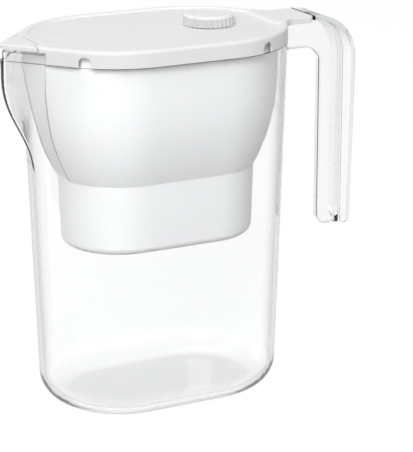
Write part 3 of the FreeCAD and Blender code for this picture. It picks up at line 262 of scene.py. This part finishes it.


# opaque mouldings and filter media, one finish each, and two greys of painted shade for the knob's
# ridges and the hopper's creases
solidFinishes = {
    "hopper_white": {
        "Scale": 14.0, "Grain Scale": 1500.0,
        "Light": (0.87, 0.87, 0.87), "Shade": (0.84, 0.84, 0.845),
        "Rough Low": 0.32, "Rough High": 0.44,
        "bump": 0.05, "bumpDepth": 0.0003, "subsurface": 0.15,
    },
    "lid_white": {
        "Scale": 18.0, "Grain Scale": 2200.0,
        "Light": (0.93, 0.93, 0.93), "Shade": (0.905, 0.905, 0.91),
        "Rough Low": 0.34, "Rough High": 0.48,
        "bump": 0.06, "bumpDepth": 0.0003, "subsurface": 0.1,
    },
    # painted shade: a darker grey for the knob's ridged sides, where the grooves fall in shadow
    "grip_painted_shade": {
        "Scale": 18.0, "Grain Scale": 2200.0,
        "Light": (0.66, 0.66, 0.66), "Shade": (0.62, 0.62, 0.625),
        "Rough Low": 0.4, "Rough High": 0.55,
        "bump": 0.06, "bumpDepth": 0.0003, "subsurface": 0.0,
    },
    # painted shade: dark grey for the beads along the hopper's creases, which lie in shadow
    "crease_painted_shade": {
        "Scale": 18.0, "Grain Scale": 1500.0,
        "Light": (0.42, 0.42, 0.425), "Shade": (0.38, 0.38, 0.385),
        "Rough Low": 0.4, "Rough High": 0.55,
        "bump": 0.05, "bumpDepth": 0.0003, "subsurface": 0.0,
    },
    "cartridge_white": {
        "Scale": 22.0, "Grain Scale": 1800.0,
        "Light": (0.85, 0.85, 0.845), "Shade": (0.81, 0.81, 0.805),
        "Rough Low": 0.38, "Rough High": 0.52,
        "bump": 0.06, "bumpDepth": 0.0003, "subsurface": 0.1,
    },
    "seal_silicone": {
        "Scale": 30.0, "Grain Scale": 1200.0,
        "Light": (0.72, 0.73, 0.74), "Shade": (0.66, 0.67, 0.69),
        "Rough Low": 0.5, "Rough High": 0.65,
        "bump": 0.08, "bumpDepth": 0.0003, "subsurface": 0.2,
    },
    "filter_felt": {
        "Scale": 300.0, "Grain Scale": 2600.0,
        "Light": (0.86, 0.86, 0.84), "Shade": (0.72, 0.72, 0.70),
        "Rough Low": 0.85, "Rough High": 1.0,
        "bump": 0.5, "bumpDepth": 0.0006, "subsurface": 0.0,
    },
    "carbon_granules": {
        "Scale": 700.0, "Grain Scale": 2400.0,
        "Light": (0.06, 0.06, 0.06), "Shade": (0.012, 0.012, 0.012),
        "Rough Low": 0.5, "Rough High": 0.9,
        "bump": 0.9, "bumpDepth": 0.001, "subsurface": 0.0,
    },
    "resin_beads": {
        "Scale": 900.0, "Grain Scale": 2800.0,
        "Light": (0.80, 0.58, 0.25), "Shade": (0.55, 0.36, 0.12),
        "Rough Low": 0.25, "Rough High": 0.45,
        "bump": 0.8, "bumpDepth": 0.0008, "subsurface": 0.0,
    },
}
solidOptics = {"ior": 1.48, "glowSpread": (1.0, 1.0, 1.0), "glowDepth": 0.003}


def makeSolidPlastic(name, finish, optics):
    material, tree, out = newMaterial(name)
    grain, bump = useGrain(tree, finish)
    plastic = addNode(tree, "ShaderNodeBsdfPrincipled", (300, 0))
    plastic.inputs["IOR"].default_value = optics["ior"]
    plastic.inputs["Subsurface Weight"].default_value = finish["subsurface"]
    plastic.inputs["Subsurface Radius"].default_value = optics["glowSpread"]
    plastic.inputs["Subsurface Scale"].default_value = optics["glowDepth"]
    tree.links.new(grain.outputs["Color"], plastic.inputs["Base Color"])
    tree.links.new(grain.outputs["Roughness"], plastic.inputs["Roughness"])
    tree.links.new(bump.outputs["Normal"], plastic.inputs["Normal"])
    tree.links.new(plastic.outputs["BSDF"], out.inputs["Surface"])
    return material


finishOfNode = {
    "hopper": "hopper_white",
    "lid": "lid_white", "spout_flap": "lid_white",
    "reminder_knob": "lid_white", "knob_clip": "lid_white",
    "cartridge_cup": "cartridge_white", "cartridge_cap": "cartridge_white",
    "cartridge_seal": "seal_silicone", "knob_ring": "seal_silicone",
    "inlet_felt": "filter_felt", "middle_felt": "filter_felt", "outlet_mesh": "filter_felt",
    "carbon_bed": "carbon_granules", "resin_bed": "resin_beads",
}
solidPlastics = {
    name: makeSolidPlastic(name, finish, solidOptics) for name, finish in solidFinishes.items()
}


def paint(piece, material):
    if piece.material_slots:
        piece.material_slots[0].material = material
    else:
        piece.data.materials.append(material)


for nodeName, finishName in finishOfNode.items():
    paint(cadNodes[nodeName], solidPlastics[finishName])
for nodeName, density in smokeOfNode.items():
    paint(cadNodes[nodeName], makeClearPlastic("clear_" + nodeName, clearFinish, density))
print("materials made:", len(solidPlastics) + len(smokeOfNode))


# reminder dial: a knob with deep grip ridges whose sides carry painted shade, and ticks round it on
# the lid
dial = {
    "ridges": 30, "ridgeDepth": 0.0013, "ridgeTop": 0.0058, "ridgeTaper": 0.955,
    # heights from the knob's foot or drops from its top, and insets from its radius
    "shoulderHeight": 0.006603, "shoulderInset": 0.0016,
    "edgeDrop": 0.0002, "edgeInset": 0.0020,
    "topInset": 0.0026, "faceInset": 0.0046,
    "sunkDrop": 0.0004, "sunkInset": 0.0054,
    "sharpAngle": 20.0,
    "stemSides": 32, "stemRadius": 0.004, "stemOverlap": 0.0005,
    "pointer": {"length": 0.0055, "width": 0.0022, "rise": 0.0003, "round": 0.00018},
    "pointerInset": 0.0074,
    "tick": {"length": 0.0032, "width": 0.0009, "rise": 0.00035, "round": 0.00021},
    "tickCount": 12, "tickReach": 0.0206, "tickSharpAngle": 50.0,
}
knobLow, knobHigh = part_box("reminder_knob")
ringLow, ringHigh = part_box("knob_ring")
dishHeight = ringLow[2]
knobFoot = ringHigh[2]
dialCentre = Vector(((knobLow[0] + knobHigh[0]) / 2, (knobLow[1] + knobHigh[1]) / 2, 0.0))
knobRadius = (knobHigh[0] - knobLow[0]) / 2


def finishPiece(name, shape, material, sharpAngle):
    mesh = bpy.data.meshes.new(name)
    bmesh.ops.recalc_face_normals(shape, faces=shape.faces)
    shape.to_mesh(mesh)
    shape.free()
    mesh.shade_smooth()
    mesh.set_sharp_from_angle(angle=math.radians(sharpAngle))
    piece = bpy.data.objects.new(name, mesh)
    mesh.materials.append(material)
    scene.collection.objects.link(piece)
    return piece


# extrudes a cap to a height, and makes it round where a radius is given
def raiseCap(shape, cap, height, radius=None):
    grown = bmesh.ops.extrude_face_region(shape, geom=[cap])["geom"]
    bmesh.ops.delete(shape, geom=[cap], context="FACES_ONLY")
    cap = next(item for item in grown if isinstance(item, bmesh.types.BMFace))
    for vert in cap.verts:
        flat = vert.co.xy.normalized() * (radius or vert.co.xy.length)
        vert.co = (flat.x, flat.y, height)
    return cap


# a bar that points outwards from the dial's centre, sunk by as much as it rises
def addBar(shape, bar, reach, turn, foot):
    block = bmesh.ops.create_cube(shape, size=1.0)["verts"]
    bmesh.ops.scale(shape, vec=(bar["length"], bar["width"], bar["rise"] * 2), verts=block)
    edges = dict.fromkeys(edge for vert in block for edge in vert.link_edges)
    top = [edge for edge in edges if all(vert.co.z > 0 for vert in edge.verts)]
    rounded = bmesh.ops.bevel(shape, geom=top, offset=bar["round"], offset_type="OFFSET",
                              segments=2, profile=0.5, affect="EDGES", material=-1)
    kept = [vert for vert in block if vert.is_valid]
    moved = list(dict.fromkeys(kept + rounded["verts"]))
    bmesh.ops.translate(shape, vec=(reach + bar["length"] / 2, 0, foot), verts=moved)
    bmesh.ops.rotate(shape, cent=(0, 0, 0), matrix=Matrix.Rotation(turn, 3, "Z"), verts=moved)


def makeKnob(values, material, paintedShadeMaterial):
    shape = bmesh.new()
    perRidge = 4  # two points on each ridge and two in the valley beside it
    ring = bmesh.ops.create_circle(shape, cap_ends=True, segments=values["ridges"] * perRidge,
                                   radius=knobRadius)["verts"]
    valleys = [vert for i, vert in enumerate(ring) if i % perRidge >= perRidge / 2]
    sink = 1 - values["ridgeDepth"] / knobRadius
    bmesh.ops.scale(shape, vec=(sink, sink, 1), verts=valleys)
    cap = raiseCap(shape, shape.faces[:][0], values["ridgeTop"])
    ridgeFaces = [face for face in shape.faces if face is not cap]
    taper = values["ridgeTaper"]
    bmesh.ops.scale(shape, vec=(taper, taper, 1), verts=cap.verts)
    tall = knobHigh[2] - knobFoot
    for height, inset in (
        (values["shoulderHeight"], values["shoulderInset"]),
        (tall - values["edgeDrop"], values["edgeInset"]),
        (tall, values["topInset"]),
        (tall, values["faceInset"]),
        (tall - values["sunkDrop"], values["sunkInset"]),
    ):
        cap = raiseCap(shape, cap, height, knobRadius - inset)
    openEdges = [edge for edge in shape.edges if edge.is_boundary]
    bmesh.ops.holes_fill(shape, edges=openEdges, sides=0)
    # the ridged sides take the second material, a grey of painted shade
    for face in ridgeFaces:
        face.material_index = 1
    pointer = values["pointer"]
    pointerReach = knobRadius - values["pointerInset"] - pointer["length"]
    addBar(shape, pointer, pointerReach, math.pi, tall - values["sunkDrop"])
    stemLength = knobFoot - knobLow[2] + values["stemOverlap"]
    stem = bmesh.ops.create_cone(shape, cap_ends=True, segments=values["stemSides"],
                                 radius1=values["stemRadius"], radius2=values["stemRadius"],
                                 depth=stemLength)["verts"]
    bmesh.ops.translate(shape, vec=(0, 0, values["stemOverlap"] - stemLength / 2), verts=stem)
    bmesh.ops.translate(shape, vec=dialCentre + Vector((0, 0, knobFoot)), verts=shape.verts)
    knob = finishPiece("dial_knob", shape, material, values["sharpAngle"])
    knob.data.materials.append(paintedShadeMaterial)
    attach(knob, "reminder_knob")
    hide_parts("reminder_knob")


def makeTicks(values, material):
    shape = bmesh.new()
    for i in range(values["tickCount"]):
        turn = 2 * math.pi * i / values["tickCount"]
        addBar(shape, values["tick"], values["tickReach"], turn, 0.0)
    bmesh.ops.translate(shape, vec=dialCentre + Vector((0, 0, dishHeight)), verts=shape.verts)
    ticks = finishPiece("dial_ticks", shape, material, values["tickSharpAngle"])
    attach(ticks, "lid")


makeKnob(dial, solidPlastics["lid_white"], solidPlastics["grip_painted_shade"])
makeTicks(dial, solidPlastics["lid_white"])
print("dial made")


# hopper creases: a fine bead along each side of the hopper's flat face, in a dark grey of painted
# shade
creases = {
    "radius": 0.0006, "sides": 3, "steps": 10, "inset": (0.00015, -0.0002, 0.0),
    "joinGap": 0.00001, "sharpAngle": 40.0,
    "spineHalf": 0.029,  # from the middle to the centre of the hopper's round end
    # at each level: height, radius of the round end, half the width of the flat
    "levels": (
        (0.2625, 0.0675, 0.0250), (0.2310, 0.0634, 0.0175), (0.2040, 0.0575, 0.0135),
        (0.1840, 0.0515, 0.0135), (0.1695, 0.0449, 0.0135),
    ),
}


def makeCreases(values, material):
    curve = bpy.data.curves.new("crease_line", "CURVE")
    curve.dimensions = "3D"
    curve.bevel_depth = values["radius"]
    curve.bevel_resolution = values["sides"]
    curve.resolution_u = values["steps"]
    curve.use_fill_caps = True
    line = curve.splines.new("BEZIER")
    line.bezier_points.add(len(values["levels"]) - 1)
    for point, (height, endRadius, flatHalf) in zip(line.bezier_points, values["levels"]):
        reach = values["spineHalf"] + math.sqrt(endRadius ** 2 - flatHalf ** 2)
        point.co = Vector((-reach, flatHalf, height)) + Vector(values["inset"])
        point.handle_left_type = point.handle_right_type = "AUTO"
    guide = bpy.data.objects.new("crease_line", curve)
    scene.collection.objects.link(guide)
    seen = guide.evaluated_get(bpy.context.evaluated_depsgraph_get())
    bead = bpy.data.meshes.new_from_object(seen)
    bpy.data.objects.remove(guide)
    shape = bmesh.new()
    shape.from_mesh(bead)
    bpy.data.meshes.remove(bead)
    bmesh.ops.remove_doubles(shape, verts=shape.verts, dist=values["joinGap"])
    oneSide = shape.verts[:] + shape.edges[:] + shape.faces[:]
    bmesh.ops.mirror(shape, geom=oneSide, axis="Y", merge_dist=0.0)
    beads = finishPiece("hopper_creases", shape, material, values["sharpAngle"])
    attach(beads, "hopper")


makeCreases(creases, solidPlastics["crease_painted_shade"])
print("creases made")


# studio: white room for the camera and the clear plastic, soft lamps on the object
studio = {
    "floorSize": 8.0,
    "floorColor": (0.27, 0.27, 0.27),
    "floorGlow": (0.82, 0.82, 0.82),
    "roomLight": 0.36,
    "ceilingShade": 0.55, "ceilingStart": 0.05, "ceilingEnd": 0.6,
}
lamps = {
    "key_lamp": {"place": (-1.4, -2.05, 1.55), "aim": (0.0, 0.0, 0.16), "size": 1.7, "power": 50.0},
    "fill_lamp": {"place": (1.2, -1.9, 0.6), "aim": (0.0, 0.0, 0.14), "size": 1.2, "power": 4.0},
    "top_lamp": {"place": (0.1, 0.6, 2.2), "aim": (0.0, 0.0, 0.2), "size": 1.6, "power": 10.0},
    "back_lamp": {"place": (-1.4, 2.1, 0.8), "aim": (0.0, 0.0, 0.15), "size": 1.0, "power": 10.0},
}


# 1 where the camera sees the room straight, in a reflection or through clear plastic, else 0
def lookedAt(tree, place):
    x, y = place
    path = addNode(tree, "ShaderNodeLightPath", place)
    first = addNode(tree, "ShaderNodeMath", (x + 200, y), operation="MAXIMUM")
    second = addNode(tree, "ShaderNodeMath", (x + 400, y), operation="MAXIMUM")
    tree.links.new(path.outputs["Is Camera Ray"], first.inputs[0])
    tree.links.new(path.outputs["Is Glossy Ray"], first.inputs[1])
    tree.links.new(first.outputs["Value"], second.inputs[0])
    tree.links.new(path.outputs["Is Transmission Ray"], second.inputs[1])
    straight = addNode(tree, "ShaderNodeMath", (x + 200, y - 200), operation="LESS_THAN")
    straight.inputs[1].default_value = 0.5  # before the first diffuse bounce
    tree.links.new(path.outputs["Diffuse Depth"], straight.inputs[0])
    both = addNode(tree, "ShaderNodeMath", (x + 600, y), operation="MULTIPLY")
    tree.links.new(second.outputs["Value"], both.inputs[0])
    tree.links.new(straight.outputs["Value"], both.inputs[1])
    return both.outputs["Value"]


def makeRoom(room):
    world = bpy.data.worlds.new("white_room")
    world.use_nodes = True
    tree = world.node_tree
    tree.nodes.clear()
    out = addNode(tree, "ShaderNodeOutputWorld", (600, 0))
    mix = addNode(tree, "ShaderNodeMixShader", (400, 0))
    soft = addNode(tree, "ShaderNodeBackground", (100, 0))
    soft.inputs["Strength"].default_value = room["roomLight"]
    soft.inputs["Color"].default_value = (1, 1, 1, 1)
    white = addNode(tree, "ShaderNodeBackground", (100, -200))
    white.inputs["Strength"].default_value = 1.0
    way = addNode(tree, "ShaderNodeTexCoord", (-700, -250))
    parts = addNode(tree, "ShaderNodeSeparateXYZ", (-500, -250))
    dim = addNode(tree, "ShaderNodeMapRange", (-300, -250), interpolation_type="SMOOTHSTEP")
    dim.inputs["From Min"].default_value = room["ceilingStart"]
    dim.inputs["From Max"].default_value = room["ceilingEnd"]
    dim.inputs["To Min"].default_value = 1.0
    dim.inputs["To Max"].default_value = room["ceilingShade"]
    tree.links.new(way.outputs["Generated"], parts.inputs["Vector"])
    tree.links.new(parts.outputs["Z"], dim.inputs["Value"])
    tree.links.new(dim.outputs["Result"], white.inputs["Color"])
    tree.links.new(lookedAt(tree, (-500, 200)), mix.inputs["Fac"])
    tree.links.new(soft.outputs["Background"], mix.inputs[1])
    tree.links.new(white.outputs["Background"], mix.inputs[2])
    tree.links.new(mix.outputs["Shader"], out.inputs["Surface"])
    scene.world = world


def makeFloor(room):
    shape = bmesh.new()
    bmesh.ops.create_grid(shape, x_segments=1, y_segments=1, size=room["floorSize"] / 2)
    mesh = bpy.data.meshes.new("floor")
    shape.to_mesh(mesh)
    shape.free()
    floor = bpy.data.objects.new("floor", mesh)
    scene.collection.objects.link(floor)
    material, tree, out = newMaterial("pale_floor")
    matt = addNode(tree, "ShaderNodeBsdfDiffuse", (100, 100))
    matt.inputs["Color"].default_value = (*room["floorColor"], 1)
    glow = addNode(tree, "ShaderNodeEmission", (100, -100))
    tree.links.new(lookedAt(tree, (-700, -100)), glow.inputs["Strength"])
    glow.inputs["Color"].default_value = (*room["floorGlow"], 1)
    both = addNode(tree, "ShaderNodeAddShader", (400, 0))
    tree.links.new(matt.outputs["BSDF"], both.inputs[0])
    tree.links.new(glow.outputs["Emission"], both.inputs[1])
    tree.links.new(both.outputs["Shader"], out.inputs["Surface"])
    mesh.materials.append(material)


def makeLamp(name, values):
    data = bpy.data.lights.new(name, "AREA")
    data.shape = "DISK"
    data.size = values["size"]
    data.energy = values["power"]
    lamp = bpy.data.objects.new(name, data)
    lamp.location = values["place"]
    lamp.rotation_mode = "QUATERNION"
    beam = Vector(values["aim"]) - Vector(values["place"])
    lamp.rotation_quaternion = beam.to_track_quat("-Z", "Y")
    scene.collection.objects.link(lamp)


makeRoom(studio)
makeFloor(studio)
for lampName, lampValues in lamps.items():
    makeLamp(lampName, lampValues)
scene.view_settings.view_transform = "Standard"
print("studio made")
